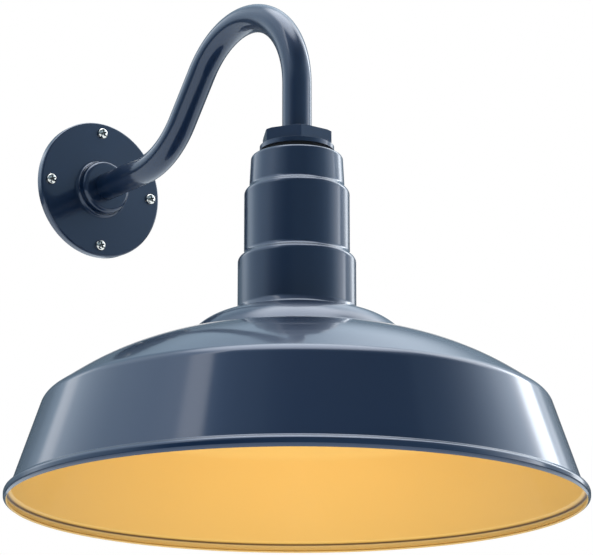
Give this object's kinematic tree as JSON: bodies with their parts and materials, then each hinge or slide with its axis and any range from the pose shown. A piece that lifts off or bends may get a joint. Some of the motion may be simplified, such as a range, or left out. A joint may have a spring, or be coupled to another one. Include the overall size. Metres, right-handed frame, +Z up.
{
  "type": "gooseneck wall sconce",
  "caption": "Wall light with a round wall plate, a curved gooseneck pipe arm, a stepped neck and a wide angled metal shade around a screw-in lamp.",
  "frame": {"origin": "centre of the wall plate, in the plane of the gasket's back, which lies on the wall", "axes": "+Z up, +Y into the wall, the arm and the shade stand out towards -Y, +X to the right seen from the room"},
  "size_m": [0.4063, 0.4804, 0.388],
  "materials": {
    "paint": "satin",
    "gasket": "matte",
    "bright_screw": "polished",
    "zinc_steel": "satin",
    "green_screw": "satin",
    "porcelain": "gloss",
    "brass": "satin",
    "black_lead": "satin",
    "white_lead": "satin",
    "green_lead": "satin",
    "lamp_metal": "satin",
    "lamp_glass": "gloss",
    "solder": "satin",
    "lamp_plastic": "satin",
    "lamp_diffuser": "frosted",
    "board_metal": "satin",
    "led_yellow": "gloss",
    "board_green": "satin"
  },
  "bodies": {
    "fixture": {"wall_plate": "paint", "plate_gasket": "gasket", "wall_screws": "bright_screw", "gooseneck_arm": "paint", "hex_hub": "paint", "hub_gasket": "gasket", "lock_washer": "zinc_steel", "neck_locknut": "zinc_steel", "neck_housing": "paint", "shade": "paint", "shade_screws": "zinc_steel", "shade_nuts": "zinc_steel", "holder_bracket": "zinc_steel", "bracket_screws": "zinc_steel", "ground_screw": "green_screw", "holder_porcelain": "porcelain", "terminal_screws": "brass", "screw_shell": "brass", "centre_contact": "brass", "live_lead": "black_lead", "neutral_lead": "white_lead", "ground_lead": "green_lead"},
    "lamp_end": {"lamp_tip": "solder", "lamp_insulator": "lamp_glass"},
    "lamp": {"lamp_cap": "lamp_metal", "lamp_housing": "lamp_plastic", "lamp_globe": "lamp_diffuser", "led_board": "board_metal", "led_chips": "led_yellow", "driver_board": "board_green"}
  },
  "joints": [
    {"name": "lamp_travel", "type": "slide", "parent": "fixture", "child": "lamp_end", "axis": [0, 0, -1], "range_m": [0, 0.0255]},
    {"name": "lamp_turn", "type": "hinge", "parent": "lamp_end", "child": "lamp", "pos_m": [0, -0.2707, -0.13034], "axis": [0, 0, -1], "range_deg": [0, 2520]}
  ],
  "couplings": [
    {"joint": "lamp_travel", "follows": "lamp_turn", "m_per_rad": 0.00057757}
  ]
}
